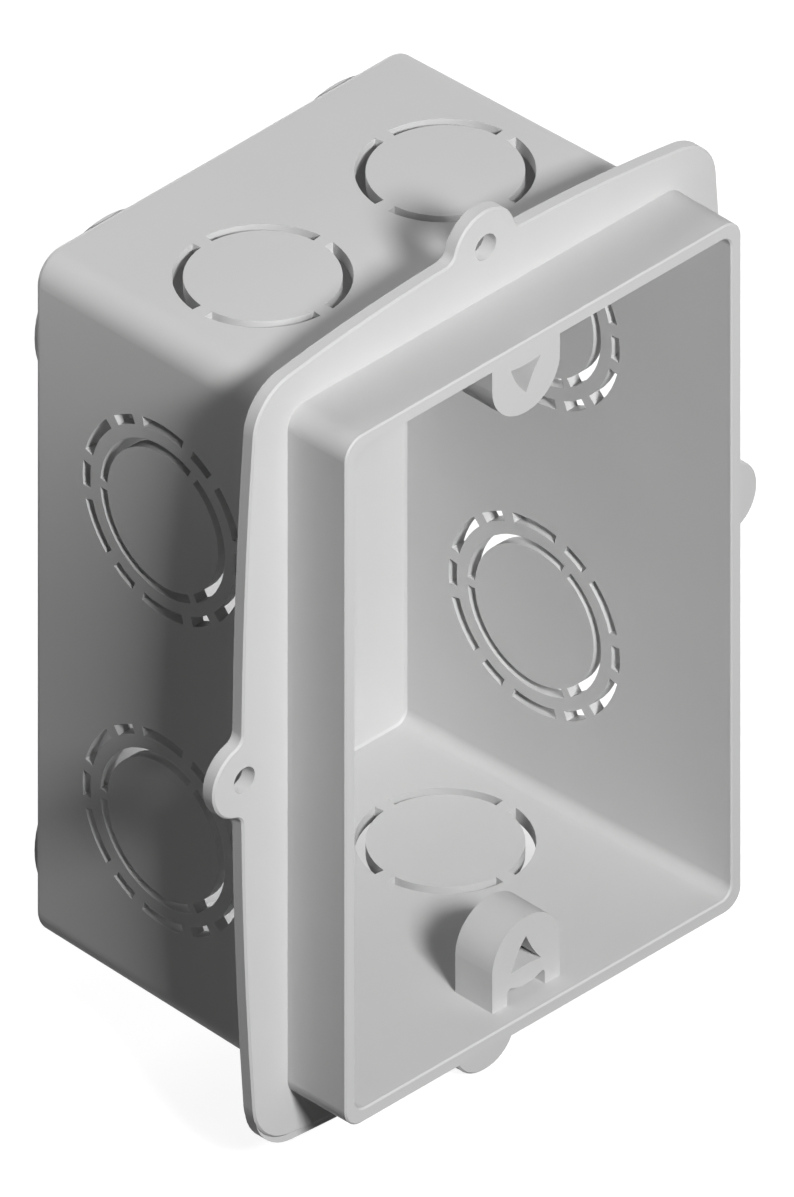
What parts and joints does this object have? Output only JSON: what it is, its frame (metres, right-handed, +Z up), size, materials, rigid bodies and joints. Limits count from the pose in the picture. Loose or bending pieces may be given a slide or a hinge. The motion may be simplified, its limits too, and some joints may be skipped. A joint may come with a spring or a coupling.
{
  "type": "plastic switch box",
  "caption": "Flush-mounted plastic electrical box with a stepped collar, a flange with screw ears, knockouts in its walls and lugs that hold a switch.",
  "frame": {"origin": "centre of the ear holes, on the front face of the flange", "axes": "+Z up along the box's height, -Y out of the open front towards the room, +X to the right of someone facing the front"},
  "size_m": [0.09, 0.0535, 0.123],
  "materials": {
    "box_plastic": "light neutral grey moulded plastic with a fine satin grain"
  },
  "bodies": {
    "root": {"switch_box": "box_plastic"}
  },
  "joints": []
}
